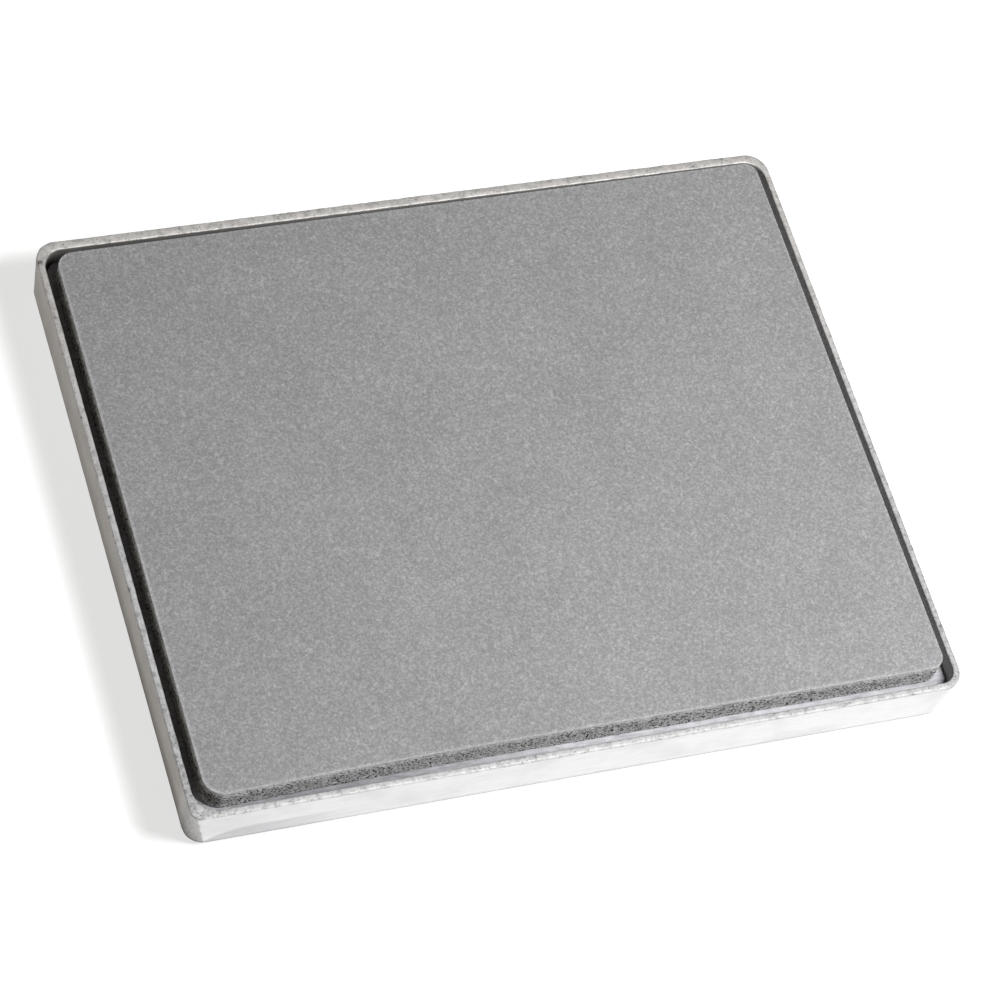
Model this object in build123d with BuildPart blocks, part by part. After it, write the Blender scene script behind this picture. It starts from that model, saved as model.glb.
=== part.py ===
from build123d import *
import math
import os

# A granite tooling slab for leatherwork, lying on a rubber mat in a cast aluminium
# tray that stands on four rubber feet.
#
# Units: millimetres.  The origin is on the bench under the middle of the tray, +Z is
# up, X runs along the slab's long side and -Y is the front.  The slab was cut and the
# tray's rim ground by hand, so no two corners are quite the same.

# ---- granite slab: nominal 10 x 8 inches, a little out of square ----------------------
slab_length = 254.0
slab_width = 203.2
slab_thickness = 10.0
slab_arris = 0.5              # narrow bevel worn round the top and bottom edges
slab_shift_x = -0.24          # the slab doesn't lie quite in the middle of the tray
slab_shift_y = -0.1
front_left_run = 1.7          # how far each corner stands outside the nominal rectangle
front_right_run = 0.5
back_left_run = -0.5
back_right_run = 0.8
right_edge_lean = -0.4        # the back right corner stands this far inside
swell_start_x = -25.0         # where the front edge begins to swell out to the left
slab_radii = {"front_left": 7.0, "front_right": 5.0, "back_left": 6.0, "back_right": 4.5}

# ---- cast tray ---------------------------------------------------------------------
cavity_length = 260.8         # at the rim
cavity_width = 211.4
side_wall = 2.4               # left, right and front wall, at the rim
back_wall = 3.4
tray_height = 22.0
floor_thickness = 3.2
draft_angle = 4.0             # degrees, so that the casting leaves its mould
rim_radii = {"front_left": 3.5, "front_right": 7.0, "back_left": 7.0, "back_right": 8.0}
base_radii = {"front_left": 6.5, "front_right": 5.5, "back_left": 5.5, "back_right": 6.5}
cavity_radii = {"front_left": 8.0, "front_right": 5.0, "back_left": 7.0, "back_right": 7.0}
rim_outer_round = 0.6
rim_inner_round = 0.25
floor_fillet = 2.2            # inside, where the walls meet the floor
bottom_round = 1.5            # outside, along the bottom edge

# ---- rubber mat under the slab -------------------------------------------------------
mat_thickness = 12.7
mat_clearance = 0.4           # to the tray wall, all the way up
mat_bevel = 2.2               # bottom edge, clears the tray's inside fillet
mat_top_round = 0.4

# ---- rubber feet ---------------------------------------------------------------------
foot_diameter = 12.7
foot_thickness = 2.4
foot_tip_round = 0.7
foot_taper = 12.0             # degrees
foot_inset = 19.0             # foot centre to the edge of the tray's underside
seat_depth = 0.6              # round seat cast in the underside
seat_clearance = 0.4          # on the radius

# ---- heights -------------------------------------------------------------------------
underside_z = foot_thickness - seat_depth
floor_z = underside_z + floor_thickness
mat_top_z = floor_z + mat_thickness
rim_z = underside_z + tray_height

# ---- plan sizes ----------------------------------------------------------------------
draft = math.tan(math.radians(draft_angle))
rim_length = cavity_length + 2 * side_wall
rim_width = cavity_width + side_wall + back_wall
cavity_y = (side_wall - back_wall) / 2
outer_inset = tray_height * draft
inner_inset = (tray_height - floor_thickness) * draft

base_length = rim_length - 2 * outer_inset
base_width = rim_width - 2 * outer_inset
floor_length = cavity_length - 2 * inner_inset
floor_width = cavity_width - 2 * inner_inset

foot_span_x = base_length - 2 * foot_inset
foot_span_y = base_width - 2 * foot_inset
foot_places = {
    "foot_front_left": (-foot_span_x / 2, -foot_span_y / 2),
    "foot_front_right": (foot_span_x / 2, -foot_span_y / 2),
    "foot_back_left": (-foot_span_x / 2, foot_span_y / 2),
    "foot_back_right": (foot_span_x / 2, foot_span_y / 2),
}


def round_corners(sketch, radii, inset=0.0):
    """Fillet a sketch's four corners, each with its own radius less an inset."""
    across = sketch.vertices().sort_by(Axis.X)
    left, right = across[:2].sort_by(Axis.Y), across[-2:].sort_by(Axis.Y)
    corners = {
        "front_left": left[0],
        "front_right": right[0],
        "back_left": left[1],
        "back_right": right[1],
    }
    for name, corner in corners.items():
        # each fillet remakes the outline, so the next corner is looked up afresh
        nearest = sketch.vertices().sort_by_distance(corner)[0]
        fillet(nearest, radii[name] - inset)


def save(piece, name):
    """Label a finished piece and write it as its own STEP file."""
    piece.part.label = name
    export_step(piece.part, f"parts/{name}.step")


os.makedirs("parts", exist_ok=True)

# ---- tray: one open pan with drafted walls -------------------------------------------
with BuildPart() as tray:
    with BuildSketch(Plane.XY.offset(underside_z)) as base:
        Rectangle(base_length, base_width)
        round_corners(base, base_radii)
    with BuildSketch(Plane.XY.offset(rim_z)) as rim:
        Rectangle(rim_length, rim_width)
        round_corners(rim, rim_radii)
    loft(ruled=True)
    fillet(tray.faces().sort_by(Axis.Z)[0].edges(), bottom_round)
    fillet(tray.faces().sort_by(Axis.Z)[-1].edges(), rim_outer_round)

    with BuildSketch(Plane.XY.offset(floor_z)) as cavity:
        with Locations((0, cavity_y)):
            Rectangle(floor_length, floor_width)
        round_corners(cavity, cavity_radii, inner_inset)
    extrude(amount=tray_height - floor_thickness, taper=-draft_angle, mode=Mode.SUBTRACT)
    cavity_floor = tray.faces().filter_by(Plane.XY).sort_by(Axis.Z)[-2]
    fillet(cavity_floor.edges(), floor_fillet)
    rim_face = tray.faces().filter_by(Plane.XY).sort_by(Axis.Z)[-1]
    fillet(rim_face.inner_wires()[0].edges(), rim_inner_round)

    with BuildSketch(Plane.XY.offset(underside_z)):
        with Locations(*foot_places.values()):
            Circle(foot_diameter / 2 + seat_clearance)
    extrude(amount=seat_depth, mode=Mode.SUBTRACT)
save(tray, "tray")

# ---- mat: fills the tray from wall to wall and carries the slab -----------------------
with BuildPart() as mat:
    with BuildSketch(Plane.XY.offset(floor_z)) as sheet:
        with Locations((0, cavity_y)):
            Rectangle(floor_length - 2 * mat_clearance, floor_width - 2 * mat_clearance)
        round_corners(sheet, cavity_radii, inner_inset + mat_clearance)
    extrude(amount=mat_thickness, taper=-draft_angle)
    chamfer(mat.faces().sort_by(Axis.Z)[0].edges(), mat_bevel)
    fillet(mat.faces().sort_by(Axis.Z)[-1].edges(), mat_top_round)
save(mat, "rubber_mat")

# ---- slab: sawn stone, its front edge swelling out to the left -------------------------
left_x = slab_shift_x - slab_length / 2
right_x = slab_shift_x + slab_length / 2
front_y = slab_shift_y - slab_width / 2
back_y = slab_shift_y + slab_width / 2

swell_start = (swell_start_x, front_y)
front_left = (left_x, front_y - front_left_run)
front_right = (right_x, front_y - front_right_run)
back_right = (right_x + right_edge_lean, back_y + back_right_run)
back_left = (left_x, back_y + back_left_run)
along_front = (swell_start[0] - front_right[0], swell_start[1] - front_right[1])

with BuildPart() as slab:
    with BuildSketch(Plane.XY.offset(mat_top_z)) as stone:
        with BuildLine():
            Polyline(front_left, back_left, back_right, front_right, swell_start)
            TangentArc(swell_start, front_left, tangent=along_front)
        make_face()
        round_corners(stone, slab_radii)
    extrude(amount=slab_thickness)
    chamfer(slab.faces().sort_by(Axis.Z)[-1].edges(), slab_arris)
    chamfer(slab.faces().sort_by(Axis.Z)[0].edges(), slab_arris)
save(slab, "granite_slab")

# ---- feet: four stick-on bumpers, each in its seat -------------------------------------
for foot_name, (foot_x, foot_y) in foot_places.items():
    with BuildPart() as foot:
        with BuildSketch(Plane.XY.offset(foot_thickness)):
            with Locations((foot_x, foot_y)):
                Circle(foot_diameter / 2)
        extrude(amount=-foot_thickness, taper=foot_taper)
        fillet(foot.faces().sort_by(Axis.Z)[0].edges(), foot_tip_round)
    save(foot, foot_name)
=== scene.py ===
"""A granite tooling slab lying on a rubber mat in a cast aluminium tray on four feet.

The slab and the tray are lofted here as meshes with the marks of hand work: a sawn, pitted
stone edge, and a casting whose rim was ground by hand.  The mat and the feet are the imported
shapes with materials of their own.  Everything is in metres; MM keeps small sizes legible.
"""
import math
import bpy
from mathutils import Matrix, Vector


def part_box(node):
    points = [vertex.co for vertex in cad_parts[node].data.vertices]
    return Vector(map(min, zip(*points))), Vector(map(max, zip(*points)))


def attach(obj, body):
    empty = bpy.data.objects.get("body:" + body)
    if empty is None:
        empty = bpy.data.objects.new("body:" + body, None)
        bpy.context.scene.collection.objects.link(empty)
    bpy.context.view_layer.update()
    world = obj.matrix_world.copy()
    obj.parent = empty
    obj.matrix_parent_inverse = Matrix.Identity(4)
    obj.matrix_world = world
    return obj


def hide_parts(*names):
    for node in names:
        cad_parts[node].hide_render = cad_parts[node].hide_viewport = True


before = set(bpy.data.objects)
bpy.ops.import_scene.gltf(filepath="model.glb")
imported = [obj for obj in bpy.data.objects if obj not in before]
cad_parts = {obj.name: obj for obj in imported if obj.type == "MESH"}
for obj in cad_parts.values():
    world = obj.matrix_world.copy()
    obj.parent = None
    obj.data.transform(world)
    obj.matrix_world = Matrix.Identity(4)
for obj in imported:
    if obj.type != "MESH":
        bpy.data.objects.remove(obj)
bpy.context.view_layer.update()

from types import SimpleNamespace

import bmesh
import bpy
import numpy as np
from mathutils import Matrix, Vector, noise

MM = 0.001

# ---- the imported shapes' boxes -----------------------------------------------------------
slab_low, slab_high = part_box("granite_slab")
tray_low, tray_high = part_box("tray")
underside_z, rim_z = tray_low.z, tray_high.z

# ---- sizes that the boxes don't hold -----------------------------------------------------
# Corners run front right, back right, back left, front left; the slab isn't quite square.
slab_corners = np.array((
    (slab_high.x, slab_low.y + 0.95 * MM),
    (slab_high.x - 0.40 * MM, slab_high.y),
    (slab_low.x, slab_high.y - 1.30 * MM),
    (slab_low.x, slab_low.y + 1.85 * MM),
))
slab_radii = np.array((5.0, 4.5, 6.0, 7.0)) * MM
slab_arris = 0.35 * MM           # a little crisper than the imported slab's bevel
swell_depth = 2.0 * MM           # the front edge runs out this far at the left
swell_start_x = -25.0 * MM

rim_radii = np.array((7.0, 8.0, 7.0, 3.5)) * MM
base_radii = np.array((5.5, 6.5, 5.5, 6.5)) * MM
cavity_radii = np.array((5.0, 7.0, 7.0, 8.0)) * MM
side_wall = 2.4 * MM             # at the rim
back_wall = 3.4 * MM
floor_thickness = 3.2 * MM
wall_slope = math.tan(math.radians(4.0))
rim_outer_round = 0.6 * MM
rim_inner_round = 0.25 * MM
floor_fillet = 2.2 * MM
bottom_round = 1.5 * MM
seat_depth = 0.6 * MM
seat_clearance = 0.4 * MM        # on the radius

# hand work on the tray's back left corner: each flat is (degrees from +X, depth)
corner_flats = ((115.0, 0.35 * MM), (150.0, 0.30 * MM))
nick_depth = 0.5 * MM
nick_half_width = 0.8 * MM
nick_before_corner = 0.6 * MM    # from where the corner's arc starts

# ---- how finely the meshes are cut ------------------------------------------------------
slab_step = 0.5 * MM             # round the outline
slab_side_rows = 19
tray_step = 0.7 * MM             # round the outline
rim_flat_rows = 6                # across the rim's top
seat_points = 40                 # round each foot's seat

# ---- lengths in mm that colours change over, with their middle at the origin ------------
rim_gradient = 217.0             # along Y
mat_gradient = 260.0             # along X

# ---- camera ------------------------------------------------------------------------------
camera_azimuth = -35.51          # degrees, from the front towards the right
camera_elevation = 56.84
camera_roll = 22.16
camera_distance = 1.2954
sensor_width = 36.0              # mm
camera_lens = 141.95             # mm
aim_from_middle = Vector((-4.52, -15.78, 0.05)) * MM   # from the tray's middle, at slab top

# ---- studio -----------------------------------------------------------------------------
floor_half = 3.0
floor_glow = 0.70
air_colour = (0.057, 0.052, 0.044)
key_azimuth, key_elevation = 47.0, 59.0
key_distance = 1.02
key_size = 0.34
key_power = 15.6                 # watts


# ======================================================================================
# Meshes
# ======================================================================================
def noise_at(points, size, octaves, seed):
    """Smooth noise, about -1 to 1, with features of this size."""
    shift = Vector((seed, 2.3 * seed, -1.7 * seed))
    scaled = points.reshape(-1, 3) / size
    values = [noise.fractal(Vector(p) + shift, 1.0, 2.0, octaves) for p in scaled]
    return np.array(values).reshape(points.shape[:-1])


def pits_at(points, spacing, radius, seed):
    """1 in the middle of scattered round pits, falling to 0 at this share of the spacing."""
    shift = Vector((seed, 2.3 * seed, -1.7 * seed))
    scaled = points.reshape(-1, 3) / spacing
    nearest = np.array([noise.voronoi(Vector(p) + shift)[0][0] for p in scaled])
    return np.clip(1.0 - nearest / radius, 0.0, 1.0).reshape(points.shape[:-1])


def smooth_step(values, start, end):
    """0 before start, 1 past end and smooth between them; start may be the larger."""
    share = np.clip((values - start) / (end - start), 0.0, 1.0)
    return share * share * (3.0 - 2.0 * share)


def corner_frames(corners, radii):
    """For each corner: its arc's centre, and the angle and turn of the normal along it."""
    frames = []
    count = len(corners)
    for k in range(count):
        into = corners[k] - corners[k - 1]
        onward = corners[(k + 1) % count] - corners[k]
        start = math.atan2(-into[0], into[1])
        turn = (math.atan2(-onward[0], onward[1]) - start) % (2 * math.pi)
        reach = radii[k] * math.tan(turn / 2)
        before = corners[k] - into / np.linalg.norm(into) * reach
        centre = before - radii[k] * np.array((math.cos(start), math.sin(start)))
        frames.append((centre, start, turn))
    return frames


def rounded_outline(corners, radii, steps):
    """Points round a four-sided outline with round corners, and the outward normal at each.

    steps holds how many points each corner's arc has, and each side that follows it, so
    that two outlines made with the same steps match point for point."""
    frames = corner_frames(corners, radii)
    points, normals = [], []
    for k, (centre, start, turn) in enumerate(frames):
        on_arc, on_side = steps[k]
        for i in range(on_arc):
            angle = start + turn * i / on_arc
            normal = np.array((math.cos(angle), math.sin(angle)))
            points.append(centre + radii[k] * normal)
            normals.append(normal)
        after = (k + 1) % len(frames)
        normal = np.array((math.cos(start + turn), math.sin(start + turn)))
        first, last = centre + radii[k] * normal, frames[after][0] + radii[after] * normal
        for i in range(on_side):
            points.append(first + (last - first) * i / on_side)
            normals.append(normal)
    return np.array(points), np.array(normals)


def outline_steps(corners, radii, step):
    """Point counts for rounded_outline, about this far apart."""
    counts = []
    for k in range(len(corners)):
        side = np.linalg.norm(corners[(k + 1) % len(corners)] - corners[k])
        on_arc = max(6, round(radii[k] * math.pi / 2 / step))
        counts.append((on_arc, round((side - 2 * radii[k]) / step)))
    return counts


def rectangle(low_x, low_y, high_x, high_y):
    """Four corners, in the order that the outlines take them."""
    return np.array(((high_x, low_y), (high_x, high_y), (low_x, high_y), (low_x, low_y)))


def rings_from(outline, normals, profile):
    """Points of a loft: one ring round the outline for each (inset, height)."""
    rings = np.empty((len(profile), len(outline), 3))
    for row, (inset, height) in enumerate(profile):
        rings[row, :, :2] = outline - inset * normals
        rings[row, :, 2] = height
    return rings


def sink(rings, depth):
    """Moves a loft's points along its outward normals, inward where the depth is negative.

    A depth above zero moves nothing, so the loft never grows."""
    around = np.roll(rings, -1, axis=1) - np.roll(rings, 1, axis=1)
    along = np.gradient(rings, axis=0)
    normals = np.cross(around, along)
    normals = normals / np.linalg.norm(normals, axis=2, keepdims=True)
    return rings + normals * np.minimum(depth, 0.0)[:, :, None]


def quarter_turn(start, end, steps, bulge_first):
    """Points of a quarter ellipse between two profile points, without the first.

    A profile point is (inset, height), and bulge_first says which of them leads."""
    turned = []
    for i in range(1, steps + 1):
        angle = math.pi / 2 * i / steps
        early, late = math.sin(angle), 1.0 - math.cos(angle)
        shares = (late, early) if bulge_first == "height" else (early, late)
        turned.append(tuple(a + share * (b - a) for a, b, share in zip(start, end, shares)))
    return turned


def loft_mesh(name, rings, attributes, cap_first=True):
    """A mesh of quads between rings, with flat caps, and a float attribute per name given."""
    rows, columns = rings.shape[:2]
    index = np.arange(rows * columns).reshape(rows, columns)
    onward = np.roll(index, -1, axis=1)
    quads = np.stack((index[:-1], onward[:-1], onward[1:], index[1:]), axis=-1).reshape(-1, 4)
    faces = quads.tolist()
    if cap_first:
        faces.append(index[0][::-1].tolist())
    faces.append(index[-1].tolist())
    mesh = bpy.data.meshes.new(name)
    mesh.from_pydata(rings.reshape(-1, 3).tolist(), [], faces)
    smooth = np.zeros(len(faces), dtype=bool)
    smooth[: len(quads)] = True
    mesh.polygons.foreach_set("use_smooth", smooth)
    for key, values in attributes.items():
        layer = mesh.attributes.new(key, "FLOAT", "POINT")
        layer.data.foreach_set("value", np.asarray(values, dtype=np.float32).ravel())
    mesh.update()
    return mesh


def place(mesh, name, material):
    """Adds a mesh to the scene as an object with this material."""
    piece = bpy.data.objects.new(name, mesh)
    piece.data.materials.append(material)
    bpy.context.scene.collection.objects.link(piece)
    return piece


# ======================================================================================
# Materials
# ======================================================================================
def grey(shade):
    return (shade, shade, shade)


class Shader:
    """A Principled material, with short ways to add and join nodes.  Sizes are in mm."""

    def __init__(self, name, **constants):
        self.material = bpy.data.materials.new(name)
        self.material.use_nodes = True
        self.tree = self.material.node_tree
        self.surface = self.tree.nodes["Principled BSDF"]
        for socket, value in constants.items():
            self.surface.inputs[socket.replace("_", " ")].default_value = value
        place_node = self.tree.nodes.new("ShaderNodeTexCoord")
        scaled = self.tree.nodes.new("ShaderNodeVectorMath")
        scaled.operation = "SCALE"
        scaled.inputs["Scale"].default_value = 1.0 / MM
        self.tree.links.new(place_node.outputs["Object"], scaled.inputs[0])
        self.place = scaled.outputs[0]

    def join(self, value, socket):
        """Links an output to a socket, or sets the socket to a constant."""
        if isinstance(value, bpy.types.NodeSocket):
            self.tree.links.new(value, socket)
        else:
            socket.default_value = value

    def math(self, operation, a, b, clamp=False):
        node = self.tree.nodes.new("ShaderNodeMath")
        node.operation = operation
        node.use_clamp = clamp
        self.join(a, node.inputs[0])
        self.join(b, node.inputs[1])
        return node.outputs[0]

    def across(self, axis, length):
        """From 0 to 1 over this length along X or Y, with its middle at the origin."""
        node = self.tree.nodes.new("ShaderNodeSeparateXYZ")
        self.join(self.place, node.inputs[0])
        return self.math("ADD", self.math("DIVIDE", node.outputs[axis], length), 0.5)

    def stretched(self, x, y, z):
        """Coordinates whose features are x, y and z times as long."""
        node = self.tree.nodes.new("ShaderNodeVectorMath")
        node.operation = "MULTIPLY"
        self.join(self.place, node.inputs[0])
        node.inputs[1].default_value = (1.0 / x, 1.0 / y, 1.0 / z)
        return node.outputs[0]

    def noise(self, size, detail=2.0, roughness=0.5, place=None):
        node = self.tree.nodes.new("ShaderNodeTexNoise")
        node.inputs["Scale"].default_value = 1.0 / size
        node.inputs["Detail"].default_value = detail
        node.inputs["Roughness"].default_value = roughness
        self.join(place or self.place, node.inputs["Vector"])
        return node.outputs["Fac"]

    def cells(self, size, output="Distance"):
        node = self.tree.nodes.new("ShaderNodeTexVoronoi")
        node.inputs["Scale"].default_value = 1.0 / size
        self.join(self.place, node.inputs["Vector"])
        return node.outputs[output]

    def ramp(self, value, *stops):
        """A value mapped through (position, value) stops."""
        node = self.tree.nodes.new("ShaderNodeValToRGB")
        self.join(value, node.inputs["Fac"])
        elements = node.color_ramp.elements
        while len(elements) < len(stops):
            elements.new(0.5)
        for element, (position, shade) in zip(elements, stops):
            element.position = position
            element.color = (*grey(shade), 1.0)
        return node.outputs["Color"]

    def attribute(self, name):
        node = self.tree.nodes.new("ShaderNodeAttribute")
        node.attribute_name = name
        return node.outputs["Fac"]

    def mix(self, share, first, second, blend="MIX"):
        node = self.tree.nodes.new("ShaderNodeMix")
        node.data_type = "RGBA"
        node.blend_type = blend
        self.join(share, node.inputs["Factor"])
        for value, socket in ((first, node.inputs["A"]), (second, node.inputs["B"])):
            self.join((*value, 1.0) if isinstance(value, tuple) else value, socket)
        return node.outputs["Result"]

    def multiply(self, first, *others):
        """The product of these colours or values."""
        for other in others:
            first = self.mix(1.0, first, other, "MULTIPLY")
        return first

    def bump(self, height, distance, strength, under=None):
        """A bump of this height in mm; under is another bump that it lies on."""
        node = self.tree.nodes.new("ShaderNodeBump")
        node.inputs["Strength"].default_value = strength
        node.inputs["Distance"].default_value = distance * MM
        self.join(height, node.inputs["Height"])
        if under is not None:
            self.join(under, node.inputs["Normal"])
        return node.outputs["Normal"]

    def finish(self, colour, roughness, normal=None):
        """Joins these to the surface, and gives the material."""
        self.join(colour, self.surface.inputs["Base Color"])
        self.join(roughness, self.surface.inputs["Roughness"])
        if normal is not None:
            self.join(normal, self.surface.inputs["Normal"])
        return self.material


def granite():
    """Fine grey stone: honed on top, sawn and pitted on its sides, bruised along its edges,
    with a painted highlight along the arris and painted shade on the sides that face left.
    """
    s = Shader("granite_stone", Specular_IOR_Level=0.4)
    honed_stone = (0.232, 0.232, 0.238)
    bruised_and_highlit_stone = (0.37, 0.37, 0.375)
    sawn_stone = (0.565, 0.565, 0.57)
    sawn_near_top = (0.475, 0.475, 0.475)
    pit_black = (0.02, 0.02, 0.021)
    left_side_shade_tint = (0.82, 0.80, 0.74)

    grain = s.ramp(s.noise(0.70, 2.5, 0.62), (0.28, 0.765), (0.50, 0.985), (0.72, 1.40))
    flecks = s.ramp(s.cells(1.1, "Color"), (0.55, 1.0), (0.80, 1.16))
    cloud = s.ramp(s.noise(30.0, 2.0), (0.30, 0.96), (0.70, 1.04))
    dots = s.ramp(s.cells(4.5), (0.035, 1.35), (0.055, 1.0))
    honed = s.multiply(honed_stone, s.multiply(grain, flecks, cloud, dots))

    upper = s.attribute("upper")
    pale_grains = s.ramp(s.noise(0.6, 3.0, 0.65), (0.30, 0.66), (0.50, 1.0), (0.72, 1.36))
    saw_marks = s.noise(1.1, 2.0, 0.5, s.stretched(2, 2, 1))
    saw_streaks = s.ramp(saw_marks, (0.35, 0.86), (0.65, 1.12))
    black_grains = s.noise(0.72, 2.0, 0.6)
    open_grain = s.mix(
        upper,
        s.ramp(black_grains, (0.41, 0.03), (0.47, 1.0)),
        s.ramp(black_grains, (0.34, 0.2), (0.42, 1.0)),
    )
    rough_pattern = s.multiply(pale_grains, saw_streaks, open_grain)
    sawn = s.multiply(s.mix(upper, sawn_stone, sawn_near_top), rough_pattern)
    sawn = s.mix(s.attribute("pit"), sawn, pit_black)
    # painted shade: the sawn sides that face left are drawn darker and browner
    sawn = s.mix(s.attribute("painted_left_shade"), sawn, s.multiply(sawn, left_side_shade_tint))

    side = s.attribute("side")
    colour = s.mix(side, honed, sawn)
    # the arris: bruised stone, paler where a highlight is painted
    colour = s.mix(s.attribute("arris"), colour, s.multiply(bruised_and_highlit_stone, grain))
    rough_honed = s.ramp(grain, (0.7, 0.48), (1.0, 0.6))
    roughness = s.mix(side, rough_honed, grey(0.85))
    relief = s.mix(side, grey(0.5), open_grain)
    return s.finish(colour, roughness, s.bump(relief, 0.12, 0.7))


def cast_skin(s):
    """The colour of the skin that the sand mould left: warm, specked, darker low down."""
    warm_metal = (0.362, 0.334, 0.304)
    low_darkening = (0.55, 0.53, 0.50)
    coarse_metal = (0.66, 0.66, 0.655)
    inside_tint = (0.88, 0.93, 0.99)
    cloud = s.ramp(s.noise(9.0, 3.0, 0.55), (0.30, 0.88), (0.70, 1.08))
    specks = s.ramp(s.noise(0.8, 3.0, 0.7), (0.30, 0.72), (0.45, 1.0))
    skin = s.multiply(warm_metal, s.multiply(cloud, specks))
    # darker low down on the outer walls
    skin = s.mix(s.attribute("low_darkening"), skin, s.multiply(skin, low_darkening))
    coarse_grain = s.ramp(s.noise(0.9, 3.0, 0.7), (0.36, 0.55), (0.50, 1.05), (0.64, 1.5))
    coarse_grain = s.multiply(coarse_metal, coarse_grain)
    skin = s.mix(s.attribute("coarse"), skin, s.multiply(skin, coarse_grain))
    return s.mix(s.attribute("inside"), skin, s.multiply(skin, inside_tint))


def dressed_metal(s, marks):
    """The colour of the front wall, dressed bright with strokes along it, with painted shade
    low down near its left end.
    """
    bright_metal = (0.67, 0.67, 0.675)
    painted_shade_tint = (0.71, 0.71, 0.725)
    cloud = s.ramp(s.noise(16.0, 3.0, 0.5), (0.35, 0.90), (0.55, 1.0))
    dressed = s.multiply(bright_metal, s.multiply(marks, cloud))
    # painted shade: a darker patch low on the front near its left end
    return s.mix(s.attribute("dull"), dressed, s.multiply(dressed, painted_shade_tint))


def ground_metal(s, scrape):
    """The colour of the rim: ground and scarred, cool at the front, with a painted warm
    reflection at the back.
    """
    cool_tint = (0.99, 0.99, 1.0)
    warm_reflection_tint = (1.0, 0.975, 0.95)
    smear = s.ramp(s.noise(2.6, 3.0, 0.6), (0.32, 0.74), (0.50, 1.0), (0.70, 1.12))
    specks = s.ramp(scrape, (0.30, 0.35), (0.39, 1.0))
    scars = s.ramp(scrape, (0.34, 0.42), (0.46, 0.90), (0.66, 1.08))
    specks = s.mix(s.attribute("scarred"), specks, scars)
    # tone holds painted light and shade as well as the rim's own brightness
    ground = s.multiply(s.attribute("tone"), s.multiply(smear, specks))
    # painted reflection: the rim is tinted warm towards the back
    to_back = s.ramp(s.across("Y", rim_gradient), (0.45, 0.0), (0.85, 1.0))
    return s.mix(to_back, s.multiply(ground, cool_tint), s.multiply(ground, warm_reflection_tint))


def cast_aluminium():
    """Sand-cast aluminium: a dull warm skin, a bright dressed front, a rim ground by hand."""
    s = Shader("cast_aluminium_skin", Metallic=0.6)
    painted_shade_grey = (0.36, 0.35, 0.34)
    pit_grey = (0.10, 0.10, 0.10)
    skin_grain = s.noise(0.45, 3.0, 0.65)
    strokes = s.noise(0.7, 3.0, 0.6, s.stretched(14, 1, 1))
    dressed_marks = s.ramp(strokes, (0.3, 0.93), (0.7, 1.03))
    scrape = s.noise(0.8, 3.0, 0.65)

    skin = cast_skin(s)
    dressed = dressed_metal(s, dressed_marks)
    ground = ground_metal(s, scrape)

    # the dressed front ends in a line, with bright grains scattered just beyond it
    line_sharpness = 4.0         # per mm across the line
    grain_reach = 7.0            # mm beyond it
    past_line = s.attribute("front")
    front = s.math("ADD", s.math("MULTIPLY", past_line, line_sharpness), 0.5, clamp=True)
    near_line = s.math("MULTIPLY", past_line, 1.0 / grain_reach)
    near_line = s.math("ADD", near_line, 1.0, clamp=True)
    bright_grain = s.ramp(skin_grain, (0.35, 0.25), (0.60, 0.85))
    skin = s.mix(s.math("MULTIPLY", near_line, bright_grain), skin, dressed)

    rim, edge, scarred = (s.attribute(name) for name in ("ground", "edge", "scarred"))
    walls = s.mix(front, skin, dressed)
    # painted shade: the walls are darkened along their bottom edge and inside the back left
    # corner
    walls = s.mix(edge, walls, s.multiply(walls, painted_shade_grey))
    colour = s.mix(rim, walls, ground)
    colour = s.mix(s.attribute("pit"), colour, pit_grey)

    rough_skin = s.ramp(skin_grain, (0.3, 0.50), (0.7, 0.64))
    rough_front = s.ramp(dressed_marks, (0.93, 0.42), (1.0, 0.36))
    rough_rim = s.ramp(scrape, (0.3, 0.78), (0.7, 0.62))
    rough_rim = s.mix(scarred, rough_rim, grey(0.9))
    roughness = s.mix(rim, s.mix(front, rough_skin, rough_front), rough_rim)
    # and made fully rough where that shade is painted
    roughness = s.mix(edge, roughness, grey(1.0))

    normal = s.bump(s.mix(front, skin_grain, grey(0.5)), 0.05, 0.6)
    normal = s.bump(s.mix(rim, grey(0.5), scrape), 0.07, 0.6, normal)
    return s.finish(colour, roughness, normal)


def mat_rubber():
    """Pale grey sheet rubber: finely cut, a little dusty, with painted shade on its left part
    and right end and painted light at its far left end.
    """
    s = Shader("mat_rubber_sheet", Specular_IOR_Level=0.3)
    pale_rubber = (0.435, 0.430, 0.455)
    grain = s.noise(0.35, 3.0, 0.6)
    dust = s.ramp(s.noise(7.0, 3.0, 0.6), (0.30, 0.86), (0.70, 1.08))
    fine = s.ramp(grain, (0.3, 0.88), (0.7, 1.10))
    cuts = s.noise(1.0, 3.0, 0.6, s.stretched(4, 1, 1))
    streaks = s.ramp(cuts, (0.34, 0.78), (0.60, 1.06))
    # painted shade along the mat's left part and at its right end, painted light at its far
    # left end
    painted_shading = s.ramp(
        s.across("X", mat_gradient),
        (0.01, 1.0), (0.06, 0.55), (0.2, 0.52), (0.5, 0.98), (0.8, 1.0), (1.0, 0.86),
    )
    colour = s.multiply(pale_rubber, s.multiply(dust, fine, streaks, painted_shading))
    roughness = s.ramp(grain, (0.3, 0.75), (0.7, 0.9))
    return s.finish(colour, roughness, s.bump(grain, 0.04, 0.5))


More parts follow.
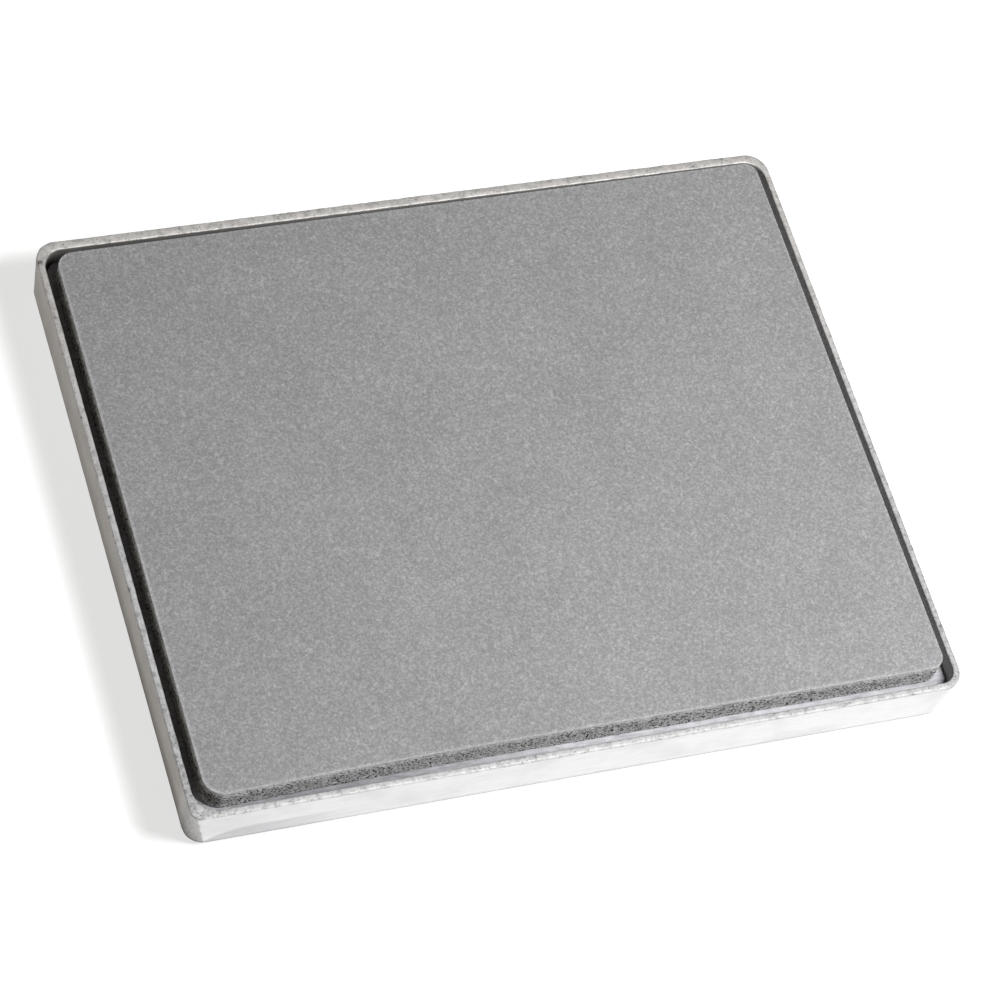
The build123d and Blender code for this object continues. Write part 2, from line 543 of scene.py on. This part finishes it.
def foot_rubber():
    """Dark moulded rubber, scuffed where it meets the bench."""
    s = Shader("foot_rubber_black", Specular_IOR_Level=0.4)
    black_rubber = (0.035, 0.035, 0.036)
    grain = s.noise(0.25, 3.0, 0.6)
    scuff = s.ramp(s.noise(2.0, 3.0, 0.6), (0.35, 0.8), (0.7, 1.5))
    roughness = s.ramp(grain, (0.3, 0.55), (0.7, 0.75))
    return s.finish(s.multiply(black_rubber, scuff), roughness, s.bump(grain, 0.03, 0.5))


# ======================================================================================
# The slab
# ======================================================================================
def add_swell(outline):
    """Runs the front edge of the slab's outline out towards its left end."""
    x, y = outline[:, 0], outline[:, 1]
    share = np.clip((swell_start_x - x) / (swell_start_x - slab_low.x), 0.0, 1.0)
    near_front = smooth_step(y - slab_corners[3][1], 40.0 * MM, 10.0 * MM)
    swollen = outline.copy()
    swollen[:, 1] -= swell_depth * share**2 * near_front
    return swollen


def slab_profile():
    """The slab's section: up its side, over the arris and a little way in on the top."""
    low, high = slab_low.z, slab_high.z
    side_height = high - low - 2 * slab_arris
    profile = [(slab_arris, low), (slab_arris * 0.4, low + slab_arris * 0.4)]
    for i in range(slab_side_rows + 1):
        profile.append((0.0, low + slab_arris + side_height * i / slab_side_rows))
    profile += quarter_turn((0.0, high - slab_arris), (slab_arris, high), 4, "height")
    profile += [(slab_arris + 0.3 * MM, high), (slab_arris + 1.0 * MM, high)]
    return profile


def stone_slab(material):
    """The slab: rings up its sawn side, over the worn arris, to the honed top."""
    steps = outline_steps(slab_corners, slab_radii, slab_step)
    outline, normals = rounded_outline(slab_corners, slab_radii, steps)
    rings = rings_from(add_swell(outline), normals, slab_profile())
    on_top = slice(-2, None)         # the last two rings lie on the honed top
    height, high = rings[:, :, 2], slab_high.z

    # the sawn side is uneven and pitted, and the arris is chipped
    side = smooth_step(height, high - 0.15 * slab_arris, high - 1.2 * slab_arris)
    sawn = 0.07 * MM * (noise_at(rings, 2.2 * MM, 3, 3.1) - 0.6)
    middle = smooth_step(height, high - 0.8 * MM, high - 2.5 * MM)
    patches = smooth_step(noise_at(rings, 6 * MM, 2, 9.0), -0.5, 0.5)
    pits = pits_at(rings, 1.5 * MM, 0.42, 5.7) * patches * middle
    near_top = smooth_step(height, high - 2.2 * slab_arris, high - 0.6 * slab_arris)
    chips = smooth_step(noise_at(rings, 1.6 * MM, 3, 21.0), 0.45, 0.95)
    depth = side * (sawn - 0.35 * MM * pits) - 0.18 * MM * near_top * chips
    depth[on_top] = 0.0

    # where the materials change: the arris is bruised pale, with a painted highlight that is
    # strongest along the left
    to_front = smooth_step(-normals[:, 1], 0.0, 0.8)
    to_left = smooth_step(-normals[:, 0], 0.1, 0.7)
    arris = smooth_step(height, high - 1.25 * slab_arris, high - 0.9 * slab_arris)
    arris[on_top] = ((0.6,), (0.0,))
    # painted highlight: the pale arris is strongest on the sides that face left, less on the
    # front
    arris *= 0.29 + 0.09 * to_front + 0.55 * to_left
    attributes = {
        "side": side,
        "arris": arris,
        "upper": smooth_step(height, high - 2.8 * MM, high - 0.4 * MM) * to_front,
        "pit": side * pits,
        # painted shade on the sides that face left
        "painted_left_shade": np.broadcast_to(smooth_step(-normals[:, 0], 0.3, 0.9), height.shape),
    }
    mesh = loft_mesh("granite_slab_stone", sink(rings, depth), attributes)
    return place(mesh, "granite_slab_stone", material)


# ======================================================================================
# The tray
# ======================================================================================
def tray_rows():
    """The tray's section: up the outside, over the rim and down to the cavity's floor.

    Each row is (share, outer inset, cavity inset, height): share runs from 0 on the outer
    wall to 1 on the cavity's, and an inset is measured inward, from the outer wall's face
    at that height or from the cavity's outline at the rim."""
    def lean(height):
        return (rim_z - height) * wall_slope

    def heights(first, last, step):
        count = max(1, round(abs(last - first) / step))
        return [first + (last - first) * i / count for i in range(1, count + 1)]

    floor_z = underside_z + floor_thickness
    start = (bottom_round, underside_z)
    turn_end = (0.0, underside_z + bottom_round)
    outer = [start] + quarter_turn(start, turn_end, 5, "inset")
    near_rim = rim_z - 3.0 * MM
    shoulder = rim_z - rim_outer_round
    outer += [(0.0, z) for z in heights(turn_end[1], near_rim, 1.0 * MM)]
    outer += [(0.0, z) for z in heights(near_rim, shoulder, 0.4 * MM)]
    outer += quarter_turn(outer[-1], (rim_outer_round, rim_z), 4, "height")
    rows = [(0.0, inset, 0.0, z) for inset, z in outer]

    for i in range(1, rim_flat_rows):
        rows.append((i / rim_flat_rows, rim_outer_round, -rim_inner_round, rim_z))

    start = (-rim_inner_round, rim_z)
    inner = [start] + quarter_turn(start, (0.0, rim_z - rim_inner_round), 3, "inset")
    fillet_top = floor_z + floor_fillet
    inner += [(lean(z), z) for z in heights(inner[-1][1], near_rim, 0.6 * MM)]
    inner += [(lean(z), z) for z in heights(near_rim, fillet_top, 1.3 * MM)]
    inner += quarter_turn(inner[-1], (inner[-1][0] + floor_fillet, floor_z), 4, "height")
    rows += [(1.0, 0.0, inset, z) for inset, z in inner]
    return np.array(rows)


def tray_rings():
    """The tray's bare shape: its rings, each ring's share, and the outer wall's normals."""
    low, high = tray_low, tray_high
    narrower = (rim_z - underside_z) * wall_slope
    outer_corners = rectangle(low.x, low.y, high.x, high.y)
    base_corners = rectangle(
        low.x + narrower, low.y + narrower, high.x - narrower, high.y - narrower
    )
    cavity_corners = rectangle(
        low.x + side_wall, low.y + side_wall, high.x - side_wall, high.y - back_wall
    )
    steps = outline_steps(outer_corners, rim_radii, tray_step)
    outer, outer_normals = rounded_outline(outer_corners, rim_radii, steps)
    base, _ = rounded_outline(base_corners, base_radii, steps)
    cavity, cavity_normals = rounded_outline(cavity_corners, cavity_radii, steps)

    share, outer_inset, cavity_inset, height = tray_rows().T
    rise = ((height - underside_z) / (rim_z - underside_z))[:, None, None]
    outer_part = base + rise * (outer - base) - outer_inset[:, None, None] * outer_normals
    cavity_part = cavity - cavity_inset[:, None, None] * cavity_normals
    rings = np.empty((len(height), len(outer), 3))
    rings[:, :, :2] = outer_part + share[:, None, None] * (cavity_part - outer_part)
    rings[:, :, 2] = height[:, None]
    return rings, share[:, None], outer_normals


def tray_places(rings):
    """How far back and right each point lies, and which outer walls it is in, 0 to 1."""
    x, y = rings[:, :, 0], rings[:, :, 1]
    return SimpleNamespace(
        to_back=smooth_step(y, tray_low.y, tray_high.y),
        to_right=smooth_step(x, tray_low.x, tray_high.x),
        at_front=smooth_step(y, tray_low.y + 3.0 * MM, tray_low.y + 2.0 * MM),
        at_left=smooth_step(x, tray_low.x + 3.0 * MM, tray_low.x + 2.0 * MM),
        at_right=smooth_step(x, tray_high.x - 3.0 * MM, tray_high.x - 2.0 * MM),
    )


def tray_zones(rings, share, below_rim):
    """Where the rim's two edges, its front and back, and the coarse corner are, 0 to 1."""
    near_rim = smooth_step(below_rim, 2.0 * MM, 0.0)
    from_corner = np.hypot(rings[:, :, 0] - tray_low.x, rings[:, :, 1] - tray_low.y)
    coarse = smooth_step(from_corner, 11.0 * MM, 6.0 * MM)
    return SimpleNamespace(
        outer_edge=near_rim * smooth_step(share, 0.4, 0.0),
        inner_edge=near_rim * smooth_step(share, 0.6, 1.0),
        front=tray_places(rings).at_front,
        back=smooth_step(rings[:, :, 1], tray_high.y - 6.0 * MM, tray_high.y - 4.0 * MM),
        coarse=np.where(share > 0.0, 0.0, coarse),
    )


def roughen_tray(rings, below_rim, zones):
    """The casting with an uneven skin, a lumpy, worn rim and pits in it; and the pits."""
    depth = -0.04 * MM * (0.6 + noise_at(rings, 5.0 * MM, 3, 2.0))
    depth -= zones.coarse * 0.12 * MM * (0.5 + noise_at(rings, 1.8 * MM, 3, 8.0))
    lumps = (0.12 - 0.08 * zones.front) * MM
    depth -= zones.outer_edge * lumps * (0.5 + noise_at(rings, 3.0 * MM, 3, 11.0))
    worn = 0.07 + 0.06 * zones.back
    depth -= zones.inner_edge * worn * MM * (0.7 + noise_at(rings, 4.0 * MM, 3, 17.0))
    pits = pits_at(rings, 2.6 * MM, 0.30, 4.0) * smooth_step(below_rim, 0.5 * MM, 0.1 * MM)
    pits *= smooth_step(noise_at(rings, 12 * MM, 2, 6.0), 0.0, 0.5)
    depth -= 0.25 * MM * pits
    depth[0] = depth[-1] = 0.0
    return sink(rings, depth), pits


def cut_flat(rings, centre, radius, towards, depth, weight):
    """Grinds a vertical flat on a round corner, facing this way and cut this deep."""
    turn = math.radians(towards)
    facing = np.array((math.cos(turn), math.sin(turn)))
    beyond = (rings[:, :, :2] - centre) @ facing - (radius - depth)
    rings[:, :, :2] -= (np.maximum(beyond, 0.0) * weight)[:, :, None] * facing


def dress_back_left(rings, share, below_rim):
    """Cuts the flats on the back left corner, and a nick in the rim just before it."""
    radius = rim_radii[2]
    centre = np.array((tray_low.x + radius, tray_high.y - radius))
    weight = smooth_step(below_rim, 12.0 * MM, 0.0) * (1.0 - share)
    for towards, depth in corner_flats:
        cut_flat(rings, centre, radius, towards, depth, weight)
    along = (rings[:, :, 1] - (centre[1] - nick_before_corner)) / nick_half_width
    on_left = rings[:, :, 0] < tray_low.x + 1.6 * MM
    near_rim = smooth_step(below_rim, 2.5 * MM, 0.5 * MM)
    nick = np.clip(1.0 - along**2, 0.0, 1.0) * on_left * near_rim
    rings[:, :, 0] += nick_depth * nick * (1.0 - share)
    return nick


def rim_tone_and_painted_light(places, zones, share, below_rim):
    """How bright the ground rim is: its tone with painted light and shade on it, and a painted
    highlight line inside its back.
    """
    to_back, to_right = places.to_back, places.to_right
    # painted light and shade: lighter towards the back, darker towards the right
    tone = 0.56 + 0.06 * to_back - 0.04 * zones.back - 0.07 * to_right * (1.0 - to_back)
    tone -= 0.05 * to_right * to_back
    # painted highlight on the outer edge at the left and front, painted shade on it at the
    # right
    painted_edge_shading = 0.08 * places.at_left + 0.13 * places.at_front - 0.10 * places.at_right
    tone *= 1.0 + zones.outer_edge * painted_edge_shading
    # painted shade along the left
    tone *= 1.0 - 0.10 * places.at_left
    # a painted highlight line just inside the back, and painted shade on the inner edge
    from_line = np.abs(below_rim - 0.15 * MM) / (0.35 * MM)
    painted_highlight_line = np.clip(1.0 - from_line, 0.0, 1.0) * zones.back
    inside = np.where(share >= 1.0, 1.0, 0.0)
    tone *= 1.0 + (1.1 * painted_highlight_line - 0.30 * zones.inner_edge) * inside
    return tone


def wall_painted_shade(rings, places, share, outer_normals):
    """Painted shade along the outer wall's bottom edge, heaviest on the left towards the
    front, and painted shade inside the back left corner.
    """
    x, y = rings[:, :, 0], rings[:, :, 1]
    above_base = rings[:, :, 2] - underside_z
    # painted shade along the bottom edge, heaviest on the left side towards the front
    painted_shading = (1.0 - places.to_back) ** 2 * smooth_step(-outer_normals[:, 0], 0.2, 0.8)
    bottom_shade = 0.6 * smooth_step(above_base, 1.9 * MM, 1.2 * MM) * (1.0 - painted_shading)
    bottom_shade += 0.9 * smooth_step(above_base, 3.0 * MM, 1.4 * MM) * painted_shading
    # painted shade inside the back left corner
    shade = smooth_step(y, tray_high.y - 12.0 * MM, tray_high.y - 6.0 * MM)
    shade *= smooth_step(x, tray_low.x + 150.0 * MM, tray_low.x + 10.0 * MM)
    return np.where(share > 0.0, np.where(share >= 1.0, 0.75 * shade, 0.0), bottom_shade)


def rim_scars(rings, places):
    """Where the rim's scars are thickest: its front, and the front ends of its sides."""
    x, to_front = rings[:, :, 0], 1.0 - places.to_back
    right_end = smooth_step(x, tray_high.x - 12.0 * MM, tray_high.x - 2.0 * MM)
    left_end = smooth_step(x, tray_low.x + 30.0 * MM, tray_low.x + 4.0 * MM)
    scars = np.maximum(0.30 * places.at_front, 0.8 * right_end * to_front)
    scars = np.maximum(scars, 0.9 * left_end * to_front**8)
    least_scars = 0.25
    return np.maximum(scars, least_scars)


def past_front_line(rings, share, below_rim):
    """How far each outside point is past the line where the dressed front starts, in mm."""
    x, y = rings[:, :, 0], rings[:, :, 1]
    drop = below_rim / (20.0 * MM)
    waver = 0.5 * MM * noise_at(rings, 2.5 * MM, 2, 41.0)
    from_left = x - (tray_low.x + 1.9 * MM + 5.0 * MM * drop) + waver
    from_back = tray_low.y + rim_radii[0] - y
    front = np.minimum(from_left, from_back) / MM
    limit = 8.0                  # mm, a little past where the shader's grains end
    return np.where(share > 0.0, -limit, np.clip(front, -limit, limit))


def painted_shade_wedge(rings):
    """Painted shade low on the dressed front: a patch rising from the left and fading out."""
    above_base = rings[:, :, 2] - underside_z
    along_front = np.maximum(rings[:, :, 0] - tray_low.x - 6.0 * MM, 0.0)
    shade_height = 9.5 * MM * (1.0 - np.exp(-along_front / (5.0 * MM)))
    dull = smooth_step(above_base - shade_height, 1.0 * MM, -0.6 * MM)
    return dull * smooth_step(along_front, 60.0 * MM, 15.0 * MM)


def cast_tray(material):
    """The casting: drafted walls with a cast skin, and a rim that was ground by hand."""
    rings, share, outer_normals = tray_rings()
    below_rim = rim_z - rings[:, :1, 2]
    zones = tray_zones(rings, share, below_rim)
    rings, pits = roughen_tray(rings, below_rim, zones)
    nick = dress_back_left(rings, share, below_rim)

    # where the materials change
    places = tray_places(rings)
    ragged = 1.0 + 0.8 * noise_at(rings, 3.0 * MM, 3, 31.0)
    reach = np.where(share > 0.5, 0.8 - 0.5 * zones.back, 0.5) * MM * ragged
    above_base = rings[:, :, 2] - underside_z
    # darker low down on the outer walls, towards the front
    low_darkening = smooth_step(above_base, 12.0 * MM, 4.0 * MM) * (1.0 - places.to_back)
    attributes = {
        "ground": smooth_step(below_rim - reach, 0.3 * MM, 0.0),
        # the rim's tone, with painted light and shade
        "tone": rim_tone_and_painted_light(places, zones, share, below_rim),
        "pit": np.maximum(pits, 0.8 * nick),
        "front": past_front_line(rings, share, below_rim),
        "low_darkening": np.where(share > 0.0, 0.0, low_darkening),
        # painted shade along the bottom edge and inside the back left corner
        "edge": wall_painted_shade(rings, places, share, outer_normals),
        "coarse": zones.coarse,
        # painted shade low on the front near its left end
        "dull": painted_shade_wedge(rings),
        "scarred": rim_scars(rings, places),
        "inside": np.broadcast_to(np.where(share >= 1.0, 1.0, 0.0), rings.shape[:2]),
    }
    mesh = loft_mesh("tray_casting", rings, attributes, cap_first=False)
    add_underside(mesh, rings.shape[1])
    return place(mesh, "tray_casting", material)


def add_underside(mesh, columns):
    """Closes the tray underneath, with a round seat for each foot."""
    bm = bmesh.new()
    bm.from_mesh(mesh)
    bm.verts.ensure_lookup_table()
    edges = [
        bm.edges.get((bm.verts[i], bm.verts[(i + 1) % columns])) for i in range(columns)
    ]
    turns = [2 * math.pi * i / seat_points for i in range(seat_points)]
    for corner in ("front_left", "front_right", "back_left", "back_right"):
        low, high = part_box("foot_" + corner)
        centre = (low + high) / 2
        radius = (high.x - low.x) / 2 + seat_clearance
        loops = []
        for level in (underside_z, underside_z + seat_depth):
            loops.append([
                bm.verts.new((
                    centre.x + radius * math.cos(turn),
                    centre.y + radius * math.sin(turn),
                    level,
                ))
                for turn in turns
            ])
        for i in range(seat_points):
            j = (i + 1) % seat_points
            bm.faces.new((loops[0][i], loops[0][j], loops[1][j], loops[1][i]))
            edges.append(bm.edges.get((loops[0][i], loops[0][j])))
        bm.faces.new(loops[1])
    bmesh.ops.triangle_fill(bm, use_beauty=True, use_dissolve=False, edges=edges)
    bmesh.ops.recalc_face_normals(bm, faces=bm.faces)
    bm.to_mesh(mesh)
    bm.free()


def give_material(node, material):
    """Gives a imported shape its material, on every slot that it has."""
    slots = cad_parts[node].data.materials
    if len(slots) == 0:
        slots.append(material)
    for i in range(len(slots)):
        slots[i] = material


# ======================================================================================
# Studio
# ======================================================================================
def direction(azimuth, elevation):
    """The unit vector towards this azimuth, in degrees from the front to the right."""
    turn, tilt = math.radians(azimuth), math.radians(elevation)
    level = math.cos(tilt)
    return Vector((math.sin(turn) * level, -math.cos(turn) * level, math.sin(tilt)))


def add_floor():
    """A plain pale table top that glows a little, wide enough to fill every view."""
    half = floor_half
    mesh = bpy.data.meshes.new("studio_floor")
    corners = [(-half, -half, 0), (half, -half, 0), (half, half, 0), (-half, half, 0)]
    mesh.from_pydata(corners, [], [(0, 1, 2, 3)])
    paper = Shader("studio_paper", Specular_IOR_Level=0.0, Emission_Strength=floor_glow)
    paper.surface.inputs["Emission Color"].default_value = (*grey(1.0), 1.0)
    tone = paper.ramp(paper.noise(40.0, 2.0), (0.3, 0.97), (0.7, 1.0))
    floor = place(mesh, "studio_floor", paper.finish(paper.multiply(grey(0.46), tone), 0.9))


def add_key_light():
    """One soft square lamp that faces the object."""
    data = bpy.data.lights.new("key", "AREA")
    data.shape = "SQUARE"
    data.size = key_size
    data.energy = key_power
    lamp = bpy.data.objects.new("key", data)
    away = direction(key_azimuth, key_elevation)
    lamp.location = away * key_distance
    lamp.rotation_euler = away.to_track_quat("Z", "Y").to_euler()
    bpy.context.scene.collection.objects.link(lamp)


def add_world():
    """A dim, slightly warm surround."""
    world = bpy.data.worlds.new("studio_air")
    world.use_nodes = True
    background = world.node_tree.nodes["Background"]
    background.inputs["Color"].default_value = (*air_colour, 1.0)
    background.inputs["Strength"].default_value = 1.0
    bpy.context.scene.world = world


def add_camera():
    """The camera, rolled so that the tray's front rises to the right."""
    away = direction(camera_azimuth, camera_elevation)
    roll = math.radians(camera_roll)
    level = (-away).cross(Vector((0.0, 0.0, 1.0))).normalized()
    upward = level.cross(-away)
    right = math.cos(roll) * level + math.sin(roll) * upward
    up = math.cos(roll) * upward - math.sin(roll) * level
    data = bpy.data.cameras.new("camera")
    data.lens = camera_lens
    data.sensor_width = sensor_width
    camera = bpy.data.objects.new("camera", data)
    middle = (tray_low + tray_high) / 2
    aim = Vector((middle.x, middle.y, slab_high.z)) + aim_from_middle
    matrix = Matrix((right, up, away)).transposed().to_4x4()
    matrix.translation = aim + away * camera_distance
    camera.matrix_world = matrix
    bpy.context.scene.collection.objects.link(camera)
    bpy.context.scene.camera = camera


# ======================================================================================
# The scene
# ======================================================================================
add_camera()
add_world()
add_key_light()
add_floor()
bpy.context.scene.view_settings.view_transform = "Standard"

slab_piece = stone_slab(granite())
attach(slab_piece, "slab")
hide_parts("granite_slab")

tray_piece = cast_tray(cast_aluminium())
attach(tray_piece, "tray")
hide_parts("tray")

give_material("rubber_mat", mat_rubber())
foot_material = foot_rubber()
for foot in ("foot_front_left", "foot_front_right", "foot_back_left", "foot_back_right"):
    give_material(foot, foot_material)
